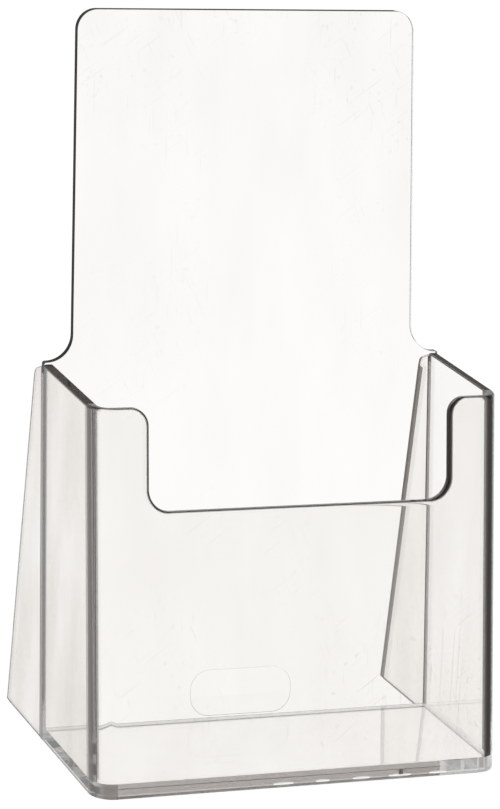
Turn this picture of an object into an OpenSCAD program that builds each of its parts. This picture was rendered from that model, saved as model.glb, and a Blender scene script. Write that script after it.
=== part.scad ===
// Clear countertop leaflet holder: one deep pocket with a finger notch,
// a tall leaning display back and two triangular rear wings that stop it tipping over.
// +X is right, +Y is back, +Z is up. The origin is the centre of the footprint, on the table.
// The real holder is one moulding, divided here at the corners where its walls meet.

/* [Overall] */
// Width over the side walls
body_w = 111; // [105:0.5:125]
// Height of the display back above the table
total_h = 190; // [170:1:220]
// Depth from the front foot to the rear end of the wings
foot_depth = 81; // [75:0.5:95]

/* [Walls] */
// Thickness of the front and side walls
wall_t = 2.5; // [2:0.1:3]
// Thickness of the back panel
back_t = 2; // [1.5:0.1:3]
// Thickness of the rear wings
wing_t = 2; // [1.5:0.1:2.5]
// Thickness of the pocket floor
floor_t = 2.9; // [1.5:0.1:4]
// Gap between the table and the underside of the floor
rim_h = 0.4; // [0.4:0.1:2]

/* [Pocket] */
// Depth at the table, over the front wall and the back panel
pocket_depth = 48.6; // [40:0.2:55]
// Height of the rim at the front
front_rim_h = 97.4; // [85:0.2:105]
// Height of the rim at the back
rear_rim_h = 98.9; // [85:0.2:108]
// Backward lean of the front wall, in degrees
front_lean = 9; // [4:0.5:12]
// Backward lean of the back panel, in degrees
back_lean = 7; // [4:0.5:12]
// Outside radius of the upright front corners
corner_r = 6; // [4:0.5:10]
// Inside radius of the upright front corners
corner_inner_r = 2.5; // [1:0.5:3.5]

/* [Finger notch] */
// Width of the notch
notch_w = 81.6; // [60:0.2:86]
// Depth of the notch below the front rim
notch_depth = 26.2; // [15:0.2:40]
// Radius of the two lower corners of the notch
notch_bottom_r = 6; // [3:0.5:9]
// Radius of the two upper corners of the notch
notch_top_r = 4.5; // [2:0.5:6]

/* [Display back] */
// Width of the display back at its foot, where it rises out of the pocket
display_foot_w = 95.6; // [90:0.2:98]
// Width of the display back at its top
display_top_w = 93.8; // [88:0.2:98]
// Radius of the two top corners
display_corner_r = 5.5; // [2:0.5:12]
// Radius of the hollow curve between the display back and each shoulder
shoulder_r = 7; // [3:0.5:7.5]
// Height of each shoulder above the rear rim
shoulder_rise = 0.5; // [0.2:0.1:1]

/* [Rear wings] */
// Depth of each wing at its top, behind the back panel
wing_top_depth = 7.2; // [4:0.2:12]
// Height of each wing at its rear edge
wing_rear_h = 95.8; // [80:0.2:98]
// Radius of the upper rear corner of each wing
wing_corner_r = 3; // [1:0.5:4]

/* [Label pad] */
// Width of the blank raised pad low on the back panel
pad_w = 28.6; // [15:0.2:40]
// Height of the pad
pad_h = 12.4; // [11:0.2:20]
// Corner radius of the pad
pad_r = 5.4; // [2:0.2:5.4]
// Height of the pad's lower edge above the table
pad_z = 3.2; // [3:0.2:20]
// Thickness of the pad
pad_t = 0.2; // [0.2:0.1:0.8]

/* [Hidden] */
$fn = 64;

half_w = body_w / 2;
inner_half_w = half_w - wall_t;
straight_half_w = half_w - corner_r;
front_y = -foot_depth / 2;
back_y = front_y + pocket_depth;
rear_y = foot_depth / 2;
floor_top = rim_h + floor_t;
shoulder_z = rear_rim_h + shoulder_rise;
// More than any dimension of the holder, for cutting solids
reach = 300;
clear_plastic = [0.93, 0.94, 0.94, 0.45];

// Y of a plane that leans with the front wall, depth millimetres inside its outer face, at height z
function front_plane(depth, z) = front_y + depth / cos(front_lean) + z * tan(front_lean);

// Y of a plane that leans with the back panel, depth millimetres in front of its rear face, at height z
function back_plane(depth, z) = back_y - depth / cos(back_lean) + z * tan(back_lean);

// Y where the rim ends at the front and at the back, and its height at any y between them
rim_front_y = front_plane(0, front_rim_h);
rim_back_y = back_plane(0, rear_rim_h);
function rim_z(y) = front_rim_h
    + (rear_rim_h - front_rim_h) * (y - rim_front_y) / (rim_back_y - rim_front_y);

// Half width of the display back at height z
function display_half_w(z) = (display_foot_w
    + (display_top_w - display_foot_w) * (z - shoulder_z) / (total_h - shoulder_z)) / 2;

// A prism along X, from x0 to x1, whose outline is given as [y, z] points
module prism_x(points, x0, x1) {
    translate([x0, 0, 0])
        rotate([90, 0, 90])
            linear_extrude(x1 - x0)
                polygon(points);
}

// A prism along Y, through the whole holder, whose outline is drawn in X and Z
module prism_y() {
    translate([0, reach / 2, 0])
        rotate([90, 0, 0])
            linear_extrude(reach)
                children();
}

// Everything above the table and below the rim
module below_rim() {
    y0 = front_y - 20;
    y1 = rear_y + 20;
    prism_x([[y0, 0], [y1, 0], [y1, rim_z(y1)], [y0, rim_z(y0)]], -reach / 2, reach / 2);
}

// An upright that leans with the front wall, from an outline in X and depth behind its outer face
module lean_with_front() {
    translate([0, front_y, 0])
        rotate([-front_lean, 0, 0])
            translate([0, 0, -reach / 10])
                linear_extrude(reach)
                    children();
}

// A sheet that leans with the back panel, between two depths in front of its rear face
module lean_with_back(depth0, depth1, z1) {
    prism_x([
        [back_plane(depth0, 0), 0], [back_plane(depth0, z1), z1],
        [back_plane(depth1, z1), z1], [back_plane(depth1, 0), 0]
    ], -reach / 2, reach / 2);
}

module right_and_left() {
    children();
    mirror([1, 0, 0]) children();
}

// Outline of the finger notch, open at the top, with rounded lower and upper corners
module notch_outline() {
    hw = notch_w / 2;
    z0 = front_rim_h - notch_depth;
    z1 = front_rim_h;
    translate([-hw, z0 + notch_bottom_r]) square([notch_w, reach]);
    translate([-hw + notch_bottom_r, z0]) square([notch_w - 2 * notch_bottom_r, reach]);
    right_and_left() {
        translate([hw - notch_bottom_r, z0 + notch_bottom_r]) circle(r = notch_bottom_r);
        difference() {
            translate([hw - 1, z1 - notch_top_r]) square([notch_top_r + 1, notch_top_r + 5]);
            translate([hw + notch_top_r, z1 - notch_top_r]) circle(r = notch_top_r);
        }
    }
}

module front_panel() {
    color(clear_plastic)
        difference() {
            intersection() {
                lean_with_front() translate([-straight_half_w, 0]) square([2 * straight_half_w, wall_t]);
                below_rim();
            }
            prism_y() notch_outline();
        }
}

// Plan of the pocket's inside, in X and depth behind the front wall's outer face
module pocket_plan() {
    r = corner_inner_r;
    difference() {
        translate([-inner_half_w, wall_t]) square([2 * inner_half_w, reach / 4]);
        right_and_left()
            difference() {
                translate([inner_half_w - r, wall_t - 1]) square(r + 1);
                translate([inner_half_w - r, wall_t + r]) circle(r = r);
            }
    }
}

// Upright that joins the front wall to the right side wall, round outside and round to the pocket
module corner_upright() {
    intersection() {
        lean_with_front()
            difference() {
                intersection() {
                    translate([straight_half_w, corner_r]) circle(r = corner_r);
                    translate([straight_half_w, 0]) square(corner_r);
                }
                pocket_plan();
            }
        below_rim();
    }
}

module front_right_corner() {
    color(clear_plastic) corner_upright();
}

module front_left_corner() {
    color(clear_plastic) mirror([1, 0, 0]) corner_upright();
}

// Side wall from the end of the corner's curve to the front face of the back panel
module side_wall() {
    top = reach / 2;
    intersection() {
        prism_x([
            [front_plane(corner_r, 0), 0], [front_plane(corner_r, top), top],
            [back_plane(back_t, top), top], [back_plane(back_t, 0), 0]
        ], inner_half_w, half_w);
        below_rim();
    }
}

module right_side_wall() {
    color(clear_plastic) side_wall();
}

module left_side_wall() {
    color(clear_plastic) mirror([1, 0, 0]) side_wall();
}

// Right half of the back panel's upper part: straight tapered side and a round top corner
module display_half() {
    // Slope of the tapered side, and the centre of the top corner, r from the top and from the side
    taper = atan((display_foot_w - display_top_w) / 2 / (total_h - shoulder_z));
    r = display_corner_r;
    centre = [display_half_w(total_h - r) - r / cos(taper), total_h - r];
    side_end = centre + r * [cos(taper), sin(taper)];
    translate(centre) circle(r = r);
    polygon([
        [0, shoulder_z - 1], [display_half_w(shoulder_z - 1), shoulder_z - 1],
        side_end, [centre[0], total_h], [0, total_h]
    ]);
}

// Hollow curve that runs from the display back's side out to the right shoulder
module shoulder_curve() {
    x0 = display_half_w(shoulder_z + shoulder_r);
    difference() {
        translate([x0 - 1, shoulder_z - 1]) square([shoulder_r + 1, shoulder_r + 1]);
        translate([x0 + shoulder_r, shoulder_z + shoulder_r]) circle(r = shoulder_r);
    }
}

module back_panel() {
    color(clear_plastic)
        intersection() {
            lean_with_back(0, back_t, total_h);
            prism_y() {
                translate([-half_w, 0]) square([body_w, shoulder_z]);
                right_and_left() {
                    display_half();
                    shoulder_curve();
                }
            }
        }
}

// Outline of a wing in Y and Z: upright root on the back panel, sloping rear edge, round top corner
module wing_outline() {
    r = wing_corner_r;
    root_top = rear_rim_h - 0.6;
    root = [back_plane(0, root_top), root_top];
    tip = [back_plane(0, wing_rear_h) + wing_top_depth, wing_rear_h];
    foot = [rear_y, 0];
    difference() {
        polygon([[back_y, 0], foot, tip, root]);
        // The corner is cut back to a circle that touches the top edge and the rear edge
        top_dir = (root - tip) / norm(root - tip);
        rear_dir = (foot - tip) / norm(foot - tip);
        half_angle = acos(top_dir * rear_dir) / 2;
        setback = r / tan(half_angle);
        bisector = (top_dir + rear_dir) / norm(top_dir + rear_dir);
        difference() {
            polygon([tip, tip + setback * top_dir, tip + r / sin(half_angle) * bisector,
                tip + setback * rear_dir]);
            translate(tip + r / sin(half_angle) * bisector) circle(r = r);
        }
    }
}

module wing() {
    translate([half_w - wing_t, 0, 0])
        rotate([90, 0, 90])
            linear_extrude(wing_t)
                wing_outline();
}

module right_rear_wing() {
    color(clear_plastic) wing();
}

module left_rear_wing() {
    color(clear_plastic) mirror([1, 0, 0]) wing();
}

module pocket_floor() {
    y0 = front_y - 10;
    color(clear_plastic)
        intersection() {
            lean_with_front() pocket_plan();
            prism_x([
                [y0, rim_h], [back_plane(back_t, rim_h), rim_h],
                [back_plane(back_t, floor_top), floor_top], [y0, floor_top]
            ], -reach / 2, reach / 2);
        }
}

module label_pad() {
    x = pad_w / 2 - pad_r;
    color(clear_plastic)
        intersection() {
            lean_with_back(-pad_t, 0, total_h);
            prism_y() {
                translate([-x, pad_z]) square([2 * x, pad_h]);
                translate([-pad_w / 2, pad_z + pad_r]) square([pad_w, pad_h - 2 * pad_r]);
                right_and_left() {
                    translate([x, pad_z + pad_r]) circle(r = pad_r);
                    translate([x, pad_z + pad_h - pad_r]) circle(r = pad_r);
                }
            }
        }
}

back_panel();
front_panel();
front_left_corner();
front_right_corner();
left_side_wall();
right_side_wall();
left_rear_wing();
right_rear_wing();
pocket_floor();
label_pad();
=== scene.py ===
"""Looks of the clear leaflet holder: a moulded, refracting plastic piece replaces each CAD node."""
import math
from collections import namedtuple

import bpy
from mathutils import Matrix, Vector
from mathutils.geometry import delaunay_2d_cdt

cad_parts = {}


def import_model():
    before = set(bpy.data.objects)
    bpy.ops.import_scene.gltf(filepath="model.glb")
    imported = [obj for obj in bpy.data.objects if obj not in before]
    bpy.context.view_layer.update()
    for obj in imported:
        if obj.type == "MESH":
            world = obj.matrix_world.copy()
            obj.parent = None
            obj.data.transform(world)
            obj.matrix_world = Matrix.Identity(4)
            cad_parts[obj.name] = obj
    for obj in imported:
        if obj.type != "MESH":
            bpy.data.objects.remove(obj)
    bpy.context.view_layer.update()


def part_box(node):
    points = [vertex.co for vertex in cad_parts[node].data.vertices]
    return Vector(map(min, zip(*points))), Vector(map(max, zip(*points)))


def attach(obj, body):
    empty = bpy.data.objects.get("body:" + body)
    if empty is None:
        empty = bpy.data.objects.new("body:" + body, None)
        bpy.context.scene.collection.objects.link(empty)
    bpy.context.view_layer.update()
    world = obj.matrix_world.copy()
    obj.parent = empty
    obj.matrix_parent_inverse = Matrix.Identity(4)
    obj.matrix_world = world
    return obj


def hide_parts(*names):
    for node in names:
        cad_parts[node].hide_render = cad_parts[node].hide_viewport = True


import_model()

# ---------------------------------------------------------------- dimensions
# The holder's lengths are in millimetres, as in the CAD. They turn into metres when a mesh is made.
MM = 0.001


def cad(node, corner, axis):
    """One coordinate of a CAD node's box in millimetres: corner 0 is the lowest and 1 the highest."""
    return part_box(node)[corner][axis] / MM


X, Y, Z = 0, 1, 2
HALF_W = cad("back_panel", 1, X)
TOTAL_H = cad("back_panel", 1, Z)
FRONT_Y = cad("front_panel", 0, Y)
REAR_Y = cad("right_rear_wing", 1, Y)
WALL_T = cad("right_side_wall", 1, X) - cad("right_side_wall", 0, X)
WING_T = cad("right_rear_wing", 1, X) - cad("right_rear_wing", 0, X)
CORNER_R = cad("front_right_corner", 1, X) - cad("front_right_corner", 0, X)
FLOOR_Z0 = cad("pocket_floor", 0, Z)
FLOOR_Z1 = cad("pocket_floor", 1, Z)
INNER_HALF_W = HALF_W - WALL_T
STRAIGHT_HALF_W = HALF_W - CORNER_R

FRONT_LEAN = math.radians(9)
BACK_LEAN = math.radians(7)
BACK_Y = cad("back_panel", 1, Y) - TOTAL_H * math.tan(BACK_LEAN)
BACK_T = (BACK_Y - cad("back_panel", 0, Y)) * math.cos(BACK_LEAN)
FRONT_RIM = 97.4
REAR_RIM = 98.9

NOTCH_HALF_W = 40.8
NOTCH_Z = FRONT_RIM - 26.2
NOTCH_BOTTOM_R = 6.0
NOTCH_TOP_R = 4.5

SHOULDER_Z = 99.4
SHOULDER_END_R = 0.6
SHOULDER_R = 7.0
DISPLAY_FOOT_HALF_W = 47.8
DISPLAY_TOP_HALF_W = 46.9
DISPLAY_R = 5.5

WING_ROOT_Z = 98.3
WING_TIP_Z = 95.8
WING_TIP_DEPTH = 7.2
WING_TIP_R = 3.0

PAD_HALF_W = cad("label_pad", 1, X)
PAD_Z0 = cad("label_pad", 0, Z)
PAD_Z1 = cad("label_pad", 1, Z)
PAD_R = 5.4
PAD_T = 0.2

# Each piece stops this far short of its neighbour where the real moulding runs on
GAP = 0.01

# The pocket side of a front corner: its radius, and the angle over which each of its ends runs straight
CORNER_INNER_R = 2.5
CORNER_RUN_ANGLE = 15

# The weld between a wing and the back panel ends a little below the wing's top
WING_WELD_Z = WING_ROOT_Z - 2.0

# Fineness of edge roundings and of curves in an outline, and the turn up to which shading is smooth
ROUND_STEPS = 6
ARC_STEP = math.radians(6)
SMOOTH_TURN = 2.5 * ARC_STEP
# Sine of the turn below which an outline point counts as part of a curve, and not as a corner
CORNER_DET = 0.5

# ---------------------------------------------------------------- edges and marks

# The look of an edge:
#   outer, inner: radius of its rounding on the outer and on the inner face. Outer is 0 on a square edge.
#   up, side: (shade, reach) where it faces up or down, and where it faces sideways. Shade is how dark
#       its painted shade is. Reach is where on the outer rounding that starts, from 0 at the face to 1 at
#       the side.
#   inner_reach: the same as reach, for the inner rounding.
#   block: how much of the light inside the plastic the painted shade stops, as a share of its darkness.
#   grind: how matt it is.
#   weld: it is not a surface, because the real moulding runs on there.
#   top: share of the painted shade that is left beyond the outer rounding, where it faces up or down.
INNER_REACH = 0.5
Edge = namedtuple(
    "Edge", "outer inner up side inner_reach block grind weld top",
    defaults=(0.0, 0.0, (0.0, 0.0), (0.0, 0.0), INNER_REACH, 0.0, 0.0, False, 1.0),
)
# The edges' darkness is painted shade. LIT_EDGE is a painted lit copy of DISPLAY_EDGE, and the left and
# right wing edges are shaded differently.
SIDE_RIM = Edge(0.6, 0.4, (0.85, 0.0), (0.85, 0.0), inner_reach=0.97, block=1.0)
FRONT_EDGE = Edge(1.0, 0.4, (0.98, 0.85), (0.98, 0.2), inner_reach=0.97, block=0.8, top=0.1)
DISPLAY_EDGE = Edge(0.15, 0.15, (1.0, 0.2), (1.0, 0.2), block=0.8)
LIT_EDGE = Edge(0.15, 0.15, (1.0, 0.2), (0.2, 0.2), block=0.5)
SHOULDER_END = Edge(0.15, 0.15, (0.97, 0.0), (0.97, 0.0), block=0.8)
DARK_END = Edge(up=(0.97, 0.0), side=(0.97, 0.0), block=0.8)
PLAIN_END = Edge(up=(0.8, 0.0), side=(0.8, 0.0), block=0.5)
WING_EDGE = {
    "left": Edge(0.5, 0.5, (0.9, 0.1), (0.88, 0.3), block=0.5),
    "right": Edge(0.5, 0.5, (0.97, 0.1), (0.97, 0.1), block=0.7),
}
FOOT_EDGE = Edge(0.15, 0.15, grind=0.6)
WING_FOOT = Edge(0.15, 0.15, up=(1.0, 0.0), block=0.8)
PAD_EDGE = Edge(0.15, 0.15)
WELD = Edge(weld=True)

# Share of a rounding over which its smoke comes in
REACH_SPAN = 0.25

# A region of a flat face. It is a weld, or it is dark by its tone, which is painted shade, or it is pale
# by its painted light, a milky patch. Block is the share of the tone that stops light inside the plastic.
# Each point is a place in the face, or the index of an outline point.
Mark = namedtuple("Mark", "points weld tone block milk", defaults=(True, 0.0, 0.8, 0.0))

# Strip of painted shade along the foot of the front wall: its height, the x where it turns to painted light,
# and how dark it is
FOOT_STRIP = 3.9
FOOT_END = 38.5
FOOT_TONE = 0.74
# What the front corners have below that height: painted shade, as a share of the strip's, and painted light,
# a pale milky patch
FOOT_SHADE = {"left": 1.0, "right": 0.15}
FOOT_PAINTED_LIGHT = {"left": 0.0, "right": 0.7}

# Widths of the strips of painted shade at the side walls' rims and front ends, and at the wings' roots and
# rear edges. Round a corner, the rim's strip goes from its rounding and a margin to its full width.
RIM_STRIP = 0.8
RIM_STRIP_MARGIN = 0.1
CORNER_STRIP = {"left": 1.2, "right": 2.6}
# The wings' root and rear strips are painted shade, the rear one only on the right
ROOT_STRIP = 0.8
ROOT_TONE = 0.85
REAR_STRIP = 3.2
REAR_TONE = {"left": 0.0, "right": 0.84}
# Painted shade along the line where the back panel meets the inside of a side wall
JOINT_STRIP = 0.3
JOINT_TONE = 0.72

# Bright spots low on the front wall. Each one's width is a share of the full one, and it swings from
# spot to spot between the least share and 1.
SPOTS = 5
SPOT_FIRST = -5.0
SPOT_LAST = 38.0
SPOT_HALF_W = 3.2
SPOT_HALF_H = 0.42
SPOT_Z = 1.0
SPOT_LEAST = 0.6
SPOT_SWING = 2.3
SPOT_SWING_START = 1.0
SPOT_POINTS = 16

# Bands of painted shade on the outside of the front corners: how dark they are, and between which angles
# from the corner's front, in degrees, they come in and go out. The left one gets a little lighter again.
LEFT_BAND = 0.76
LEFT_BAND_IN = (53, 59)
LEFT_FADE = 0.12
LEFT_FADE_IN = (61, 67)
RIGHT_FRONT_BAND = 0.96
RIGHT_FRONT_IN = (13, 19)
RIGHT_FRONT_OUT = (42, 48)
RIGHT_SIDE_BAND = 0.9
RIGHT_SIDE_IN = (54, 60)
# A corner's rim and foot look like the front wall's up to the first angle, and like the side wall's
# from the second. The share is what is left there of the foot strip's painted shade.
CORNER_TURN = (30, 80)
SIDE_FOOT_SHARE = 0.3

# How cloudy the faces are at the table and at the top of the holder. On the walls and wings, the left
# ones' extra cloudiness over the right ones is painted shade.
FRONT_HAZE = (0.11, 0.09)
BACK_HAZE = (0.05, 0.12)
FLOOR_HAZE = (0.08, 0.08)
WALL_HAZE_AND_SHADE = {"left": (0.52, 0.24), "right": (0.22, 0.00)}
WING_HAZE_AND_SHADE = {"left": (0.48, 0.46), "right": (0.28, 0.12)}

# ---------------------------------------------------------------- places


def leaning(y0, lean):
    """Matrix from (x, height, depth behind the front face) of a leaning wall to the row frame."""
    return Matrix((
        (1, 0, 0, 0),
        (0, math.tan(lean), 1 / math.cos(lean), y0),
        (0, 1, 0, 0),
        (0, 0, 0, 1),
    ))


def upright(x_outer):
    """Matrix from (y, height, depth inside the outer face) of a right-hand wall to the row frame."""
    return Matrix((
        (0, 0, -1, x_outer),
        (1, 0, 0, 0),
        (0, 1, 0, 0),
        (0, 0, 0, 1),
    ))


MIRROR = Matrix.Diagonal((-1, 1, 1, 1))
FRONT_PLACE = leaning(FRONT_Y, FRONT_LEAN)
BACK_PLACE = leaning(BACK_Y - BACK_T / math.cos(BACK_LEAN), BACK_LEAN)
SIDE_PLACE = upright(HALF_W)


def front_plane(depth, z):
    """Y of the plane that lies depth inside the front wall's outer face, at height z."""
    return FRONT_Y + depth / math.cos(FRONT_LEAN) + z * math.tan(FRONT_LEAN)


def back_plane(depth, z):
    """Y of the plane that lies depth in front of the back panel's rear face, at height z."""
    return BACK_Y - depth / math.cos(BACK_LEAN) + z * math.tan(BACK_LEAN)


RIM_SLOPE = (REAR_RIM - FRONT_RIM) / (back_plane(0, REAR_RIM) - front_plane(0, FRONT_RIM))


def rim_over(y_foot, lean):
    """Height at which a line that leans from y_foot at the table reaches the rim."""
    level = FRONT_RIM + RIM_SLOPE * (y_foot - front_plane(0, FRONT_RIM))
    return level / (1 - RIM_SLOPE * math.tan(lean))


# ---------------------------------------------------------------- meshes


def mix(a, b, share):
    return a + (b - a) * share


def smooth_step(low, high, value):
    t = min(max((value - low) / (high - low), 0.0), 1.0)
    return t * t * (3 - 2 * t)


class Solid:
    """A closed piece: shared corners, and faces with a normal at each corner and the looks of their
    surface. Place is its matrix to the row frame. A dull piece reflects nothing in its flat faces."""

    def __init__(self, name, place, haze_and_shade=(0.0, 0.0), dull=0.0):
        self.name = name
        self.place = place
        self.haze_and_shade = haze_and_shade
        self.dull = dull
        self.turn = place.to_3x3().inverted().transposed()
        self.reverse = place.determinant() > 0
        self.corners = {}
        self.points = []
        self.faces = []
        self.normals = []
        self.tones = []
        self.blocks = []
        self.welds = []
        self.grinds = []
        self.hazes_and_shades = []
        self.dulls = []

    def corner(self, point):
        where = self.place @ Vector(point)
        key = tuple(round(c, 4) for c in where)
        if key not in self.corners:
            self.corners[key] = len(self.points)
            self.points.append(where)
        return self.corners[key]

    def haze_and_shade_at(self, z):
        foot, top = self.haze_and_shade
        return foot + (top - foot) * z / TOTAL_H

    def face(self, points, normals, weld=False, tones=None, block=0.0, grind=0.0, milk=0.0, dull=0.0):
        """A face with a normal and a tone per corner. It is hazy only if it has no tones. Corners that
        fall together are left out, and so is a face that has fewer than three left."""
        loop = []
        for point, normal, tone in zip(points, normals, tones or [0.0] * len(points)):
            index = self.corner(point)
            if index not in [i for i, _, _ in loop]:
                loop.append((index, (self.turn @ Vector(normal)).normalized(), tone))
        if len(loop) < 3:
            return
        if self.reverse:
            loop.reverse()
        self.faces.append([i for i, _, _ in loop])
        self.normals += [n for _, n, _ in loop]
        self.tones += [t for _, _, t in loop]
        self.blocks += [max(t * block, milk) for _, _, t in loop]
        self.welds.append(1.0 if weld else 0.0)
        self.grinds.append(grind)
        self.dulls.append(dull)
        for index, _, _ in loop:
            self.hazes_and_shades.append(0.0 if tones else self.haze_and_shade_at(self.points[index].z))

    def piece(self, nodes):
        """Makes the Blender object, which replaces the CAD nodes."""
        mesh = bpy.data.meshes.new(self.name)
        mesh.from_pydata([where * MM for where in self.points], [], self.faces)
        mesh.materials.append(PLASTIC)
        mesh.polygons.foreach_set("use_smooth", [True] * len(self.faces))
        mesh.attributes.new("weld", "FLOAT", "FACE").data.foreach_set("value", self.welds)
        mesh.attributes.new("grind", "FLOAT", "FACE").data.foreach_set("value", self.grinds)
        mesh.attributes.new("dull", "FLOAT", "FACE").data.foreach_set("value", self.dulls)
        # Haze per corner, with painted shade in the difference between the left and right walls and wings
        mesh.attributes.new("haze_and_shade", "FLOAT", "CORNER").data.foreach_set("value", self.hazes_and_shades)
        # Painted shade per corner, on the dark edges, strips and bands
        mesh.attributes.new("painted_shade", "FLOAT", "CORNER").data.foreach_set("value", self.tones)
        mesh.attributes.new("block", "FLOAT", "CORNER").data.foreach_set("value", self.blocks)
        mesh.normals_split_custom_set(self.normals)
        mesh.validate()
        made = bpy.data.objects.new(self.name, mesh)
        bpy.context.scene.collection.objects.link(made)
        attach(made, "root")
        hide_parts(*nodes)
        return made


def arc(centre, radius, start, end, edge):
    """Outline points on a circle, from start to end in degrees, without the last one."""
    turn = math.radians(end - start)
    steps = max(2, round(abs(turn) / ARC_STEP))
    angles = [math.radians(start) + turn * k / steps for k in range(steps)]
    x, y = centre
    return [(x + radius * math.cos(a), y + radius * math.sin(a), edge) for a in angles]


def rounding():
    """The sine and cosine of each step round an edge, from its face to its side."""
    angles = [math.pi / 2 * (1 - k / ROUND_STEPS) for k in range(ROUND_STEPS + 1)]
    return [(math.sin(a), math.cos(a)) for a in angles]


def edge_tone(edge, sideways, cosine, side):
    """How dark an edge's painted shade is at one step of its rounding. sideways is 1 on an edge that faces
    sideways, and 0 on one that faces up or down. side is above 0 on the inner rounding."""
    tone = edge.side[0] * sideways + edge.up[0] * (1 - sideways)
    reach = edge.side[1] * sideways + edge.up[1] * (1 - sideways)
    if side > 0:
        reach = edge.inner_reach
    return tone * smooth_step(reach - REACH_SPAN / 2, reach + REACH_SPAN / 2, cosine)


# For delaunay_2d_cdt: return the faces inside the loops, and take points this close together as one
FACES_WITH_HOLES = 4
SAME_POINT = 1e-4


class Outline:
    """A closed outline, anticlockwise, whose points are (a, b, the edge that starts there)."""

    def __init__(self, points):
        self.n = len(points)
        self.at = [Vector((a, b)) for a, b, _ in points]
        self.edge = [e for _, _, e in points]
        along = [(self.at[(i + 1) % self.n] - self.at[i]).normalized() for i in range(self.n)]
        self.out = [Vector((d.y, -d.x)) for d in along]

    def radius(self, i, side):
        """Rounding at point i, on the outer face for side -1 and on the inner face for side 1."""
        pair = (self.edge[i - 1], self.edge[i])
        return max(e.outer if side < 0 else e.inner for e in pair)

    def inset(self, i, side, share):
        """Point i moved in from its rounded edges by a share of its radius."""
        before, after = self.out[i - 1], self.out[i]
        distance = share * self.radius(i, side)
        det = before.x * after.y - before.y * after.x
        if abs(det) < CORNER_DET:
            middle = (before + after).normalized()
            return self.at[i] - middle * (distance / middle.dot(after))
        d0 = distance if self.edge[i - 1].outer > 0 else 0.0
        d1 = distance if self.edge[i].outer > 0 else 0.0
        shift = Vector((-(d0 * after.y - d1 * before.y), -(before.x * d1 - after.x * d0))) / det
        return self.at[i] + shift

    def normal(self, edge, i):
        """Outward normal of an edge at its end i, shared with the next edge on a curve."""
        other = (edge - 1) % self.n if i == edge else (edge + 1) % self.n
        same = self.edge[edge].outer > 0 and self.edge[other].outer > 0
        if same and self.out[edge].dot(self.out[other]) > math.cos(SMOOTH_TURN):
            return (self.out[edge] + self.out[other]).normalized()
        return self.out[edge]


def cap(solid, ring, depth, facing, marks):
    """A flat face of a plate at a depth, cut up along its marks. Where two overlap, the last counts."""
    points = [Vector(p) for p in ring]
    loops = [list(range(len(ring)))]
    for mark in marks:
        loops.append(list(range(len(points), len(points) + len(mark.points))))
        points += [Vector(ring[p] if isinstance(p, int) else p) for p in mark.points]
    made = delaunay_2d_cdt(points, [], loops, FACES_WITH_HOLES, SAME_POINT)
    cut_points, _, cut_faces, _, _, origins = made
    for face, origin in zip(cut_faces, origins):
        if 0 not in origin:
            continue
        corners = [(*cut_points[i], depth) for i in face]
        if facing > 0:
            corners.reverse()
        mark = marks[max(origin) - 1] if max(origin) else Mark((), False)
        normals = [(0, 0, facing)] * len(corners)
        tones = [mark.tone] * len(corners) if mark.tone else None
        solid.face(corners, normals, mark.weld, tones, mark.block, milk=mark.milk, dull=solid.dull)


def plate(solid, points, thickness, outer_marks=(), inner_marks=(), round_front=True):
    """A plate with the given outline whose edges are rounded on both faces, and closed by two caps."""
    line = Outline(points)
    rings = []
    for side, steps in ((-1, rounding()), (1, rounding()[::-1])):
        for sine, cosine in steps:
            if side < 0 and not round_front:
                sine, cosine = 1.0, 1.0
            ring = []
            for i in range(line.n):
                drop = line.radius(i, side) * (1 - sine)
                ring.append((*line.inset(i, side, 1 - cosine), drop if side < 0 else thickness - drop))
            rings.append((ring, side * sine, cosine))
    for (near, s0, c0), (far, s1, c1) in zip(rings, rings[1:]):
        for i in range(line.n):
            j = (i + 1) % line.n
            edge = line.edge[i]
            flat = edge.outer <= 0
            normals, tones = [], []
            for end, sine, cosine in ((j, s0, c0), (i, s0, c0), (i, s1, c1), (j, s1, c1)):
                out = line.normal(i, end)
                normals.append((*out, 0) if flat else (*(out * cosine), sine))
                share = mix(edge.top, 1.0, abs(out.x)) if c1 <= c0 else 1.0
                tones.append(share * edge_tone(edge, abs(out.x), 1.0 if flat else cosine, sine))
            corners = [near[j], near[i], far[i], far[j]]
            solid.face(corners, normals, edge.weld, tones, edge.block, edge.grind)
    cap(solid, [p[:2] for p in rings[0][0]], 0, -1, outer_marks)
    cap(solid, [p[:2] for p in rings[-1][0]], thickness, 1, inner_marks)


def box_outline(a0, b0, a1, b1):
    """Outline of a box, from any two opposite corners that have the lower one first."""
    a0, a1 = min(a0, a1), max(a0, a1)
    return [(a0, b0), (a1, b0), (a1, b1), (a0, b1)]


# ---------------------------------------------------------------- pieces


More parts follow.
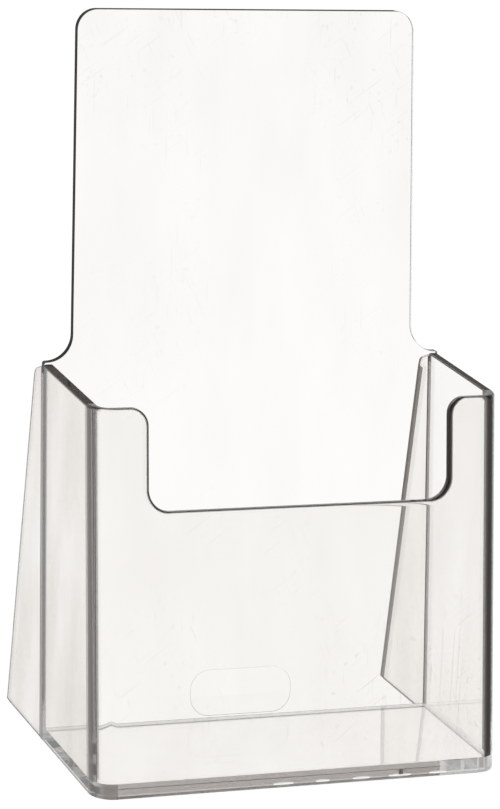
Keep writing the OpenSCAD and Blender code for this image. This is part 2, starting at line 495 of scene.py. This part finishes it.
def front_panel():
    """Flat part of the front wall, between the corners. Its rim dips into the finger notch."""
    w, rim = STRAIGHT_HALF_W - GAP, rim_over(FRONT_Y, FRONT_LEAN)
    hw, z0 = NOTCH_HALF_W, NOTCH_Z
    rt, rb = NOTCH_TOP_R, NOTCH_BOTTOM_R
    outline = [(-w, 0, FOOT_EDGE), (FOOT_END, 0, FOOT_EDGE)]
    outline += [(w, z, WELD) for z in (0, FLOOR_Z0, FLOOR_Z1, FOOT_STRIP)]
    outline.append((w, rim, FRONT_EDGE))
    outline += arc((hw + rt, rim - rt), rt, 90, 180, FRONT_EDGE)
    outline.append((hw, rim - rt, FRONT_EDGE))
    outline += arc((hw - rb, z0 + rb), rb, 0, -90, FRONT_EDGE)
    outline.append((hw - rb, z0, FRONT_EDGE))
    outline += arc((-hw + rb, z0 + rb), rb, -90, -180, FRONT_EDGE)
    outline.append((-hw, z0 + rb, FRONT_EDGE))
    outline += arc((-hw - rt, rim - rt), rt, 0, 90, FRONT_EDGE)
    outline.append((-hw - rt, rim, FRONT_EDGE))
    outline += [(-w, z, WELD) for z in (rim, FOOT_STRIP, FLOOR_Z1, FLOOR_Z0)]
    n = len(outline)
    turn = (FOOT_END, FOOT_STRIP)
    # Painted shade along the foot, and painted light as a pale milky patch at its right end
    foot = Mark([0, 1, turn, n - 3, n - 2, n - 1], False, FOOT_TONE, 0.0)
    lit_end = Mark([1, 2, 3, 4, 5, turn], False, milk=FOOT_PAINTED_LIGHT["right"])
    floor_weld = Mark(box_outline(-w, FLOOR_Z0, w, FLOOR_Z1))
    solid = Solid("front_panel.moulded", FRONT_PLACE, FRONT_HAZE)
    plate(solid, outline, WALL_T, [foot, lit_end, *foot_spots()], [floor_weld])
    return solid.piece(["front_panel"])


def foot_spots():
    """Bright lens-shaped spots low on the front wall."""
    turns = [2 * math.pi * k / SPOT_POINTS for k in range(SPOT_POINTS)]
    spots = []
    for k in range(SPOTS):
        x = mix(SPOT_FIRST, SPOT_LAST, k / (SPOTS - 1))
        swing = math.sin(SPOT_SWING * k + SPOT_SWING_START) ** 2
        w = SPOT_HALF_W * (SPOT_LEAST + (1 - SPOT_LEAST) * swing)
        points = [(x + w * math.cos(t), SPOT_Z + SPOT_HALF_H * math.sin(t)) for t in turns]
        spots.append(Mark(points, False))
    return spots


def corner_shade(side, angle):
    """How dark the painted shade on the outside of a corner is at an angle from its front. The left one is
    dark where it turns into the side wall. The right one is dark on its front as well, with a clear line
    between."""
    if side == "left":
        band = LEFT_BAND * smooth_step(*LEFT_BAND_IN, angle)
        return band - LEFT_FADE * smooth_step(*LEFT_FADE_IN, angle)
    front = RIGHT_FRONT_BAND * smooth_step(*RIGHT_FRONT_IN, angle)
    front *= 1 - smooth_step(*RIGHT_FRONT_OUT, angle)
    return max(front, RIGHT_SIDE_BAND * smooth_step(*RIGHT_SIDE_IN, angle))


def corner_inner(angle):
    """Plan point (x, depth) and normal of a corner's pocket side, for an angle round its outer side."""
    r, run = CORNER_INNER_R, CORNER_R - WALL_T - CORNER_INNER_R
    turned = (angle - CORNER_RUN_ANGLE) * 90 / (90 - 2 * CORNER_RUN_ANGLE)
    a = math.radians(min(max(turned, 0), 90))
    x = STRAIGHT_HALF_W + run + r * math.sin(a)
    depth = WALL_T + r - r * math.cos(a)
    if angle < CORNER_RUN_ANGLE:
        x = STRAIGHT_HALF_W + run * angle / CORNER_RUN_ANGLE
    if angle > 90 - CORNER_RUN_ANGLE:
        depth = WALL_T + r + run * (angle - 90 + CORNER_RUN_ANGLE) / CORNER_RUN_ANGLE
    return Vector((x, depth)), Vector((-math.sin(a), math.cos(a)))


def corner_section(rim, angle, side):
    """One section through a corner, as (plan point, height, plan normal, normal in height, tone). It
    starts at the foot of the outside, goes up to the rim and comes down the pocket side."""
    quarter = rounding()
    a = math.radians(angle)
    outer_normal = Vector((math.sin(a), -math.cos(a)))
    outer = Vector((STRAIGHT_HALF_W, CORNER_R)) + outer_normal * CORNER_R
    inner, inner_normal = corner_inner(angle)
    outer_r = mix(FRONT_EDGE.outer, SIDE_RIM.outer, angle / 90)
    turned = smooth_step(*CORNER_TURN, angle)
    reach = mix(FRONT_EDGE.up[1], SIDE_RIM.up[1], turned)
    inner_reach = mix(INNER_REACH, SIDE_RIM.inner_reach, turned)
    rim_edge = Edge(up=(SIDE_RIM.up[0], reach), inner_reach=inner_reach)
    # Painted shade of the corner's band, of its foot and of its rim
    painted_shade = corner_shade(side, angle)
    foot_shade = FOOT_TONE * FOOT_SHADE[side] * mix(1.0, SIDE_FOOT_SHARE, turned)
    rim_shade = max(painted_shade, SIDE_RIM.up[0] * turned)
    strip_z = rim - mix(outer_r + RIM_STRIP_MARGIN, RIM_STRIP, angle / 90)
    section = []

    def foot_rounding(point, normal, radius, steps, tone):
        for rise, out in steps:
            at = point - normal * radius * (1 - out)
            section.append((at, radius * (1 - rise), normal * out, -rise, tone))

    def rim_rounding(point, normal, radius, steps, least, face):
        for rise, out in steps:
            at = point - normal * radius * (1 - out)
            tone = max(least, edge_tone(rim_edge, 0, rise, face))
            section.append((at, rim - radius * (1 - rise), normal * out, rise, tone))

    foot_rounding(outer, outer_normal, FOOT_EDGE.outer, quarter, foot_shade)
    section.append((outer, FOOT_STRIP, outer_normal, 0, foot_shade))
    section.append((outer, FOOT_STRIP, outer_normal, 0, painted_shade))
    section.append((outer, strip_z, outer_normal, 0, painted_shade))
    section.append((outer, strip_z, outer_normal, 0, rim_shade))
    rim_rounding(outer, outer_normal, outer_r, quarter[::-1], rim_shade, -1)
    rim_rounding(inner, inner_normal, FRONT_EDGE.inner, quarter, 0.0, 1)
    section.append((inner, FLOOR_Z1, inner_normal, 0, 0.0))
    section.append((inner, FLOOR_Z0, inner_normal, 0, 0.0))
    foot_rounding(inner, inner_normal, FOOT_EDGE.inner, quarter[::-1], 0.0)
    return section


def corner_upright(side, mirror):
    """Upright of a front corner: the wall's section swept round the leaning corner axis."""
    solid = Solid(f"front_{side}_corner.moulded", mirror @ FRONT_PLACE, FRONT_HAZE)
    steps = round(math.pi / 2 / ARC_STEP)
    sweep = []
    for k in range(steps + 1):
        angle = 90 * k / steps
        foot = front_plane(CORNER_R * (1 - math.cos(math.radians(angle))), 0)
        rim = rim_over(foot, FRONT_LEAN)
        points, normals, tones = [], [], []
        for at, z, normal, rise, tone in corner_section(rim, angle, side):
            points.append((at.x, z, at.y))
            normals.append((normal.x, rise, normal.y))
            tones.append(tone)
        sweep.append((points, normals, tones))
    n = len(sweep[0][0])
    # The faces of the outside that lie below the foot strip's top
    foot_faces = ROUND_STEPS + 2
    for (p0, n0, t0), (p1, n1, t1) in zip(sweep, sweep[1:]):
        for i in range(n):
            j = (i + 1) % n
            corners = [p0[j], p0[i], p1[i], p1[j]]
            normals = [n0[j], n0[i], n1[i], n1[j]]
            tones = [t0[j], t0[i], t1[i], t1[j]]
            weld = (p0[i][1], p0[j][1]) == (FLOOR_Z1, FLOOR_Z0)
            # Painted light as a pale milky patch on the right corner's foot
            milk = FOOT_PAINTED_LIGHT[side] if i < foot_faces else 0.0
            tones = tones if any(tones) else None
            solid.face(corners, normals, weld, tones, FRONT_EDGE.block, milk=milk)
    solid.face(sweep[0][0], [(-1, 0, 0)] * n, True)
    solid.face(sweep[-1][0][::-1], [(0, 0, 1)] * n, True)
    return solid.piece([f"front_{side}_corner"])


def side_wall(side, mirror):
    """Wall from the corner's end to the back panel, with the rim on top."""
    rim_front = rim_over(front_plane(CORNER_R, 0), FRONT_LEAN)
    rim_back = rim_over(back_plane(BACK_T, 0), BACK_LEAN)
    strip_front, strip_back = rim_front - RIM_STRIP, rim_back - RIM_STRIP
    front, back = CORNER_R + GAP, BACK_T + GAP
    outline = [(front_plane(front, 0), 0, FOOT_EDGE)]
    outline += [(back_plane(back, z), z, WELD) for z in (0, FLOOR_Z0, FLOOR_Z1, strip_back)]
    outline.append((back_plane(back, rim_back), rim_back, SIDE_RIM))
    outline += [(front_plane(front, z), z, WELD) for z in (rim_front, strip_front, FLOOR_Z1, FLOOR_Z0)]
    floor_weld = Mark([
        (front_plane(front, FLOOR_Z0), FLOOR_Z0), (back_plane(back, FLOOR_Z0), FLOOR_Z0),
        (back_plane(back, FLOOR_Z1), FLOOR_Z1), (front_plane(front, FLOOR_Z1), FLOOR_Z1),
    ])
    # Painted shade along the rim, and a band of it at the front end, as on the corner
    rim_mark = Mark([7, 4, 5, 6], False, SIDE_RIM.up[0])
    strip = front + CORNER_STRIP[side]
    strip_ends = [(front_plane(strip, z), z) for z in (FLOOR_Z1, strip_front)]
    corner_mark = Mark([8, *strip_ends, 7], False, corner_shade(side, 90))
    solid = Solid(f"{side}_side_wall.moulded", mirror @ SIDE_PLACE, WALL_HAZE_AND_SHADE[side])
    plate(solid, outline, WALL_T, [rim_mark, corner_mark], [floor_weld])
    return solid.piece([f"{side}_side_wall"])


def pad_outline():
    """Outline of the label pad, with round corners."""
    w, r = PAD_HALF_W, PAD_R
    low, high = PAD_Z0 + r, PAD_Z1 - r
    outline = []
    for cx, cz, start in ((w - r, low, -90), (w - r, high, 0), (r - w, high, 90), (r - w, low, 180)):
        outline += arc((cx, cz), r, start, start + 90, PAD_EDGE)
        end = math.radians(start + 90)
        outline.append((cx + r * math.cos(end), cz + r * math.sin(end), PAD_EDGE))
    return outline


def back_outline(rim):
    """Outline of the back panel: up the right side, with a hollow shoulder and the display part's round
    corner, and down the left side, whose display edge has painted shade where the right one is painted lit."""
    w, top, r, end_r = HALF_W, TOTAL_H, DISPLAY_R, SHOULDER_END_R
    taper = math.atan((DISPLAY_FOOT_HALF_W - DISPLAY_TOP_HALF_W) / (top - SHOULDER_Z))

    def display_half_w(z):
        return DISPLAY_FOOT_HALF_W - (z - SHOULDER_Z) * math.tan(taper)

    curve_z = SHOULDER_Z + SHOULDER_R
    shoulder_x = display_half_w(curve_z)
    corner_x = display_half_w(top - r) - r / math.cos(taper)
    right = [(w, 0, PLAIN_END), (w, WING_WELD_Z, DARK_END), (w, rim - end_r, DARK_END)]
    right.append((w, SHOULDER_Z - end_r, SHOULDER_END))
    right += arc((w - end_r, SHOULDER_Z - end_r), end_r, 0, 90, SHOULDER_END)[1:]
    right.append((w - end_r, SHOULDER_Z, LIT_EDGE))
    right += arc((shoulder_x + SHOULDER_R, curve_z), SHOULDER_R, -90, -180, LIT_EDGE)
    right.append((shoulder_x, curve_z, LIT_EDGE))
    right += arc((corner_x, top - r), r, math.degrees(taper), 90, LIT_EDGE)
    right.append((corner_x, top, DISPLAY_EDGE))
    left_edges = [DISPLAY_EDGE if edge is LIT_EDGE else edge for _, _, edge in reversed(right[:-1])]
    left_edges.append(FOOT_EDGE)
    left = [(-a, b, edge) for (a, b, _), edge in zip(reversed(right), left_edges)]
    foot = sorted((-INNER_HALF_W, -w + WING_T, w - WING_T, INNER_HALF_W))
    return right + left + [(x, 0, FOOT_EDGE) for x in foot]


def back_panel():
    """Lower part between the walls, and the narrower display part above it."""
    rim = rim_over(back_plane(BACK_T, 0), BACK_LEAN)
    foot, weld_top = FOOT_EDGE.outer, rim - SHOULDER_END_R
    outer_marks = [Mark(box_outline(-INNER_HALF_W, FLOOR_Z0, INNER_HALF_W, FLOOR_Z1))]
    inner_marks = [Mark([(a, b) for a, b, _ in pad_outline()])]
    for s in (-1, 1):
        wall, outside, wing = s * INNER_HALF_W, s * HALF_W, s * (HALF_W - WING_T)
        joint = s * (INNER_HALF_W - JOINT_STRIP)
        outer_marks.append(Mark(box_outline(wall, foot, outside, weld_top)))
        # Painted shade along the line where the side wall meets the panel
        outer_marks.append(Mark(box_outline(joint, FLOOR_Z1, wall, weld_top), False, JOINT_TONE))
        inner_marks.append(Mark(box_outline(wing, foot, outside, WING_WELD_Z)))
    solid = Solid("back_panel.moulded", BACK_PLACE, BACK_HAZE, dull=1.0)
    plate(solid, back_outline(rim), BACK_T, outer_marks, inner_marks)
    return solid.piece(["back_panel"])


def rear_wing(side, mirror):
    """Triangular wing behind the back panel with a sloping rear edge and a round top corner."""
    edge = WING_EDGE[side]
    root = Vector((back_plane(-GAP, WING_ROOT_Z), WING_ROOT_Z))
    tip = Vector((back_plane(0, WING_TIP_Z) + WING_TIP_DEPTH, WING_TIP_Z))
    foot = Vector((REAR_Y, 0))
    top_dir = (root - tip).normalized()
    rear_dir = (foot - tip).normalized()
    half_angle = math.acos(top_dir.dot(rear_dir)) / 2
    centre = tip + (top_dir + rear_dir).normalized() * (WING_TIP_R / math.sin(half_angle))
    start = math.degrees(math.atan2(rear_dir.y, rear_dir.x)) + 90
    end = math.degrees(math.atan2(top_dir.y, top_dir.x)) - 90
    root_foot = back_plane(-GAP, 0)
    tip_end = centre + WING_TIP_R * Vector((math.cos(math.radians(end)), math.sin(math.radians(end))))
    root_strip = root - top_dir * ROOT_STRIP
    foot_points = (root_foot, root_foot + ROOT_STRIP, foot.x - REAR_STRIP)
    outline = [(a, 0, WING_FOOT) for a in foot_points]
    outline.append((*foot, edge))
    outline += arc(centre, WING_TIP_R, start, end, edge)
    outline += [(*tip_end, edge), (*root_strip, edge), (*root, WELD)]
    n = len(outline)
    # Painted shade at the root, and on the right wing along the rear edge
    root_mark = Mark([0, 1, n - 2, n - 1], False, ROOT_TONE)
    outward = Vector((-rear_dir.y, rear_dir.x))
    rear_top = centre + outward * (WING_TIP_R - REAR_STRIP - edge.inner)
    rear_mark = Mark([2, 3, 4, rear_top], False, REAR_TONE[side])
    solid = Solid(f"{side}_rear_wing.moulded", mirror @ SIDE_PLACE, WING_HAZE_AND_SHADE[side])
    plate(solid, outline, WING_T, [root_mark], [root_mark, rear_mark])
    return solid.piece([f"{side}_rear_wing"])


def pocket_floor():
    """Slab between the walls. Its sides are welds, and its top and underside are surfaces."""
    steps = round(math.pi / 2 / ARC_STEP)
    half_w = INNER_HALF_W - GAP
    front = []
    for side, order in ((-1, range(steps, -1, -1)), (1, range(steps + 1))):
        for k in order:
            at, normal = corner_inner(90 * k / steps)
            at += normal * GAP
            front.append((side * at.x, at.y))
    levels = []
    for z in (FLOOR_Z0, FLOOR_Z1):
        back = (back_plane(BACK_T + GAP, z) - front_plane(0, z)) * math.cos(FRONT_LEAN)
        plan = front + [(half_w, back), (-half_w, back)]
        levels.append([(x, z, depth) for x, depth in plan])
    low, high = levels
    solid = Solid("pocket_floor.moulded", FRONT_PLACE, FLOOR_HAZE)
    n = len(low)
    for i in range(n):
        j = (i + 1) % n
        dx, dd = low[j][0] - low[i][0], low[j][2] - low[i][2]
        out = Vector((dd, 0, -dx)).normalized()
        solid.face([low[i], low[j], high[j], high[i]], [out] * 4, True)
    solid.face(high, [(0, 1, 0)] * n)
    solid.face(low[::-1], [(0, -1, 0)] * n)
    return solid.piece(["pocket_floor"])


def label_pad():
    """Blank raised pad on the back panel's rear face."""
    place = BACK_PLACE @ Matrix.Translation((0, 0, BACK_T + GAP))
    solid = Solid("label_pad.moulded", place)
    outline = pad_outline()
    weld = Mark([(a, b) for a, b, _ in outline])
    plate(solid, outline, PAD_T, [weld], round_front=False)
    return solid.piece(["label_pad"])


# ---------------------------------------------------------------- materials


def new_material(name):
    made = bpy.data.materials.new(name)
    made.use_nodes = True
    made.node_tree.nodes.clear()
    return made, made.node_tree.nodes, made.node_tree.links


IOR = 1.59
# Light grows warmer and dimmer on its way inside the plastic, at this strength per metre
ABSORPTION = 6.5
ABSORPTION_COLOUR = (0.09, 0.04, 0.0, 1)
# From clear to clouded by haze, and from there to the grey and then the near black of painted shade as it
# rises
CLEAR = (1.0, 0.994, 0.984, 1)
CLOUD = (0.55, 0.5, 0.435, 1)
SHADE_GREY = (0.21, 0.18, 0.16, 1)
SHADE_BLACK = (0.006, 0.0045, 0.0038, 1)
SHADE_GREY_AT = 0.8
# Specular level of a surface that blocks nothing, and the block from which a surface reflects nothing
SPECULAR = 0.5
UNREFLECTING = 0.8
# Tint of what a surface reflects, where it is glossy and where it is dull
GLOSSY_TINT = (1.0, 1.0, 1.0, 1)
DULL_TINT = (0.0, 0.0, 0.0, 1)

# Noises have scales along x, y and z, in features per metre. Mottle makes the haze uneven: noise in
# its range turns into a share of the haze.
MOTTLE = (75, 75, 25)
MOTTLE_DETAIL = 3.0
MOTTLE_RANGE = (0.3, 0.7)
MOTTLE_SHARE = (0.6, 1.4)
# Scratches are the peaks of long thin noises, as (turn in degrees, scale). They show only in patches.
SCRATCHES = (
    ((0, 0, 0), (1900, 700, 22)),
    ((0, 55, 0), (2400, 900, 20)),
    ((0, -25, 0), (2400, 900, 14)),
    ((0, 0, 0), (800, 500, 600)),
)
SCRATCH_RANGE = (0.76, 0.86)
SCRATCH_STRENGTH = 0.38
PATCHES = (25, 25, 18)
PATCH_DETAIL = 1.0
PATCH_RANGE = (0.45, 0.7)
STRAIGHT = (0, 0, 0)


def clear_plastic():
    """Refracting, faintly smoky plastic, with painted shade on its dark edges, strips and bands. Light
    passes straight through weld faces, where the moulding runs on."""
    made, nodes, links = new_material("clear_polystyrene")
    out = nodes.new("ShaderNodeOutputMaterial")
    shader = nodes.new("ShaderNodeBsdfPrincipled")
    shader.inputs["IOR"].default_value = IOR

    def attribute(name):
        node = nodes.new("ShaderNodeAttribute")
        node.attribute_name = name
        return node.outputs["Fac"]

    def plug(value, socket):
        if hasattr(value, "is_linked"):
            links.new(value, socket)
        else:
            socket.default_value = value

    def math_node(operation, a, b):
        node = nodes.new("ShaderNodeMath")
        node.operation = operation
        plug(a, node.inputs[0])
        plug(b, node.inputs[1])
        return node.outputs[0]

    def map_node(value, from_range, to_range=(0.0, 1.0)):
        node = nodes.new("ShaderNodeMapRange")
        links.new(value, node.inputs["Value"])
        for socket, number in zip(node.inputs[1:5], (*from_range, *to_range)):
            socket.default_value = number
        return node.outputs[0]

    def blend(share, a, b):
        node = nodes.new("ShaderNodeMix")
        node.data_type = "RGBA"
        plug(share, node.inputs["Factor"])
        colours = [s for s in node.inputs if s.type == "RGBA"]
        plug(a, colours[0])
        plug(b, colours[1])
        return [s for s in node.outputs if s.type == "RGBA"][0]

    where = nodes.new("ShaderNodeTexCoord").outputs["Object"]

    def noise(turn, scale, detail):
        """Noise stretched along one axis of a turned frame. Its size is one over the scale, in metres."""
        mapping = nodes.new("ShaderNodeMapping")
        mapping.vector_type = "TEXTURE"
        mapping.inputs["Rotation"].default_value = [math.radians(angle) for angle in turn]
        mapping.inputs["Scale"].default_value = [1 / s for s in scale]
        texture = nodes.new("ShaderNodeTexNoise")
        texture.inputs["Scale"].default_value = 1.0
        texture.inputs["Detail"].default_value = detail
        links.new(where, mapping.inputs[0])
        links.new(mapping.outputs[0], texture.inputs["Vector"])
        return texture.outputs["Fac"]

    mottle = map_node(noise(STRAIGHT, MOTTLE, MOTTLE_DETAIL), MOTTLE_RANGE, MOTTLE_SHARE)
    patches = map_node(noise(STRAIGHT, PATCHES, PATCH_DETAIL), PATCH_RANGE, (0.0, SCRATCH_STRENGTH))
    haze_and_shade = math_node("MULTIPLY", attribute("haze_and_shade"), mottle)
    for turn, scale in SCRATCHES:
        lines = map_node(noise(turn, scale, 0.0), SCRATCH_RANGE)
        haze_and_shade = math_node("ADD", haze_and_shade, math_node("MULTIPLY", lines, patches))
    # The painted shade turns the colour grey and then near black
    grey_share = map_node(attribute("painted_shade"), (0.0, SHADE_GREY_AT))
    black_share = map_node(attribute("painted_shade"), (SHADE_GREY_AT, 1.0))
    colour = blend(black_share, blend(grey_share, blend(haze_and_shade, CLEAR, CLOUD), SHADE_GREY), SHADE_BLACK)
    transmission = math_node("SUBTRACT", 1.0, attribute("block"))
    specular = map_node(attribute("block"), (0.0, UNREFLECTING), (SPECULAR, 0.0))
    tint = blend(attribute("dull"), GLOSSY_TINT, DULL_TINT)
    links.new(colour, shader.inputs["Base Color"])
    links.new(attribute("grind"), shader.inputs["Roughness"])
    links.new(transmission, shader.inputs["Transmission Weight"])
    links.new(specular, shader.inputs["Specular IOR Level"])
    links.new(tint, shader.inputs["Specular Tint"])

    through = nodes.new("ShaderNodeBsdfTransparent")
    surface = nodes.new("ShaderNodeMixShader")
    links.new(attribute("weld"), surface.inputs[0])
    links.new(shader.outputs[0], surface.inputs[1])
    links.new(through.outputs[0], surface.inputs[2])
    links.new(surface.outputs[0], out.inputs["Surface"])
    inside = nodes.new("ShaderNodeVolumeAbsorption")
    inside.inputs["Color"].default_value = ABSORPTION_COLOUR
    inside.inputs["Density"].default_value = ABSORPTION
    links.new(inside.outputs[0], out.inputs["Volume"])
    return made


PLASTIC = clear_plastic()

# ---------------------------------------------------------------- build

front_panel()
back_panel()
pocket_floor()
label_pad()
for side, mirror in (("right", Matrix.Identity(4)), ("left", MIRROR)):
    corner_upright(side, mirror)
    side_wall(side, mirror)
    rear_wing(side, mirror)

# ---------------------------------------------------------------- camera

# Where the camera stands, in metres, the direction it stands in, its turn, and its lens in millimetres
CAMERA_AT = Vector((-0.3114, -0.8130, 0.3049))
AZIMUTH = math.radians(20.67)
ELEVATION = math.radians(13.83)
ROLL = math.radians(3.17)
LENS = 152.9


def camera():
    """Camera at the photo's viewpoint. Away points from the holder to it."""
    level = math.cos(ELEVATION)
    away = Vector((-math.sin(AZIMUTH) * level, -math.cos(AZIMUTH) * level, math.sin(ELEVATION)))
    right = (-away).cross(Vector((0, 0, 1))).normalized()
    up = right.cross(-away)
    rolled_right = right * math.cos(ROLL) + up * math.sin(ROLL)
    rolled_up = up * math.cos(ROLL) - right * math.sin(ROLL)
    data = bpy.data.cameras.new("photo_camera")
    data.lens = LENS
    made = bpy.data.objects.new("photo_camera", data)
    bpy.context.scene.collection.objects.link(made)
    turn = Matrix((rolled_right, rolled_up, away)).transposed().to_4x4()
    made.matrix_world = Matrix.Translation(CAMERA_AT) @ turn
    bpy.context.scene.camera = made


camera()

# ---------------------------------------------------------------- stage and light

# The floor glows evenly. It is a square just below the holder's foot: half its side and its drop, in metres.
FLOOR_HALF = 12.0
FLOOR_DROP = 0.00005
FLOOR_GLOW = 1.02
# The world is bright at the horizon and dims over the dim rise. From the front to the back, between the
# two y directions, the height at which it starts to dim goes up to the lift rise.
BRIGHT = 1.0
DIM = 0.2
DIM_RISE = math.radians(9)
LIFT_RISE = math.radians(35)
LIFT_Y = (-0.3, 0.7)
WHITE = (1, 1, 1, 1)


def floor():
    """Plain pale floor."""
    mesh = bpy.data.meshes.new("floor")
    s, z = FLOOR_HALF, -FLOOR_DROP
    mesh.from_pydata([(-s, -s, z), (s, -s, z), (s, s, z), (-s, s, z)], [], [(0, 1, 2, 3)])
    made = bpy.data.objects.new("floor", mesh)
    bpy.context.scene.collection.objects.link(made)
    material, nodes, links = new_material("pale_floor")
    out = nodes.new("ShaderNodeOutputMaterial")
    glow = nodes.new("ShaderNodeEmission")
    glow.inputs["Strength"].default_value = FLOOR_GLOW
    links.new(glow.outputs[0], out.inputs["Surface"])
    mesh.materials.append(material)


def world():
    """Bright at the horizon and dimmer above it. The bright part reaches higher behind the holder."""
    made = bpy.data.worlds.new("studio")
    made.use_nodes = True
    nodes, links = made.node_tree.nodes, made.node_tree.links
    background = nodes["Background"]

    def ease(value, from_range, to_range):
        node = nodes.new("ShaderNodeMapRange")
        node.interpolation_type = "SMOOTHSTEP"
        links.new(value, node.inputs["Value"])
        node.inputs["From Min"].default_value, node.inputs["From Max"].default_value = from_range
        node.inputs["To Min"].default_value, node.inputs["To Max"].default_value = to_range
        return node.outputs[0]

    where = nodes.new("ShaderNodeTexCoord")
    split = nodes.new("ShaderNodeSeparateXYZ")
    links.new(where.outputs["Generated"], split.inputs[0])
    height = nodes.new("ShaderNodeMath")
    height.operation = "SUBTRACT"
    links.new(split.outputs["Z"], height.inputs[0])
    links.new(ease(split.outputs["Y"], LIFT_Y, (0.0, math.sin(LIFT_RISE))), height.inputs[1])
    strength = ease(height.outputs[0], (0.0, math.sin(DIM_RISE)), (BRIGHT, DIM))
    links.new(strength, background.inputs["Strength"])
    background.inputs["Color"].default_value = WHITE
    bpy.context.scene.world = made


floor()
world()

# Light goes through several walls with two faces each, so it needs many bounces
scene = bpy.context.scene
scene.view_settings.view_transform = "Standard"
scene.cycles.max_bounces = 32
scene.cycles.transmission_bounces = 32
scene.cycles.glossy_bounces = 16
scene.cycles.transparent_max_bounces = 64
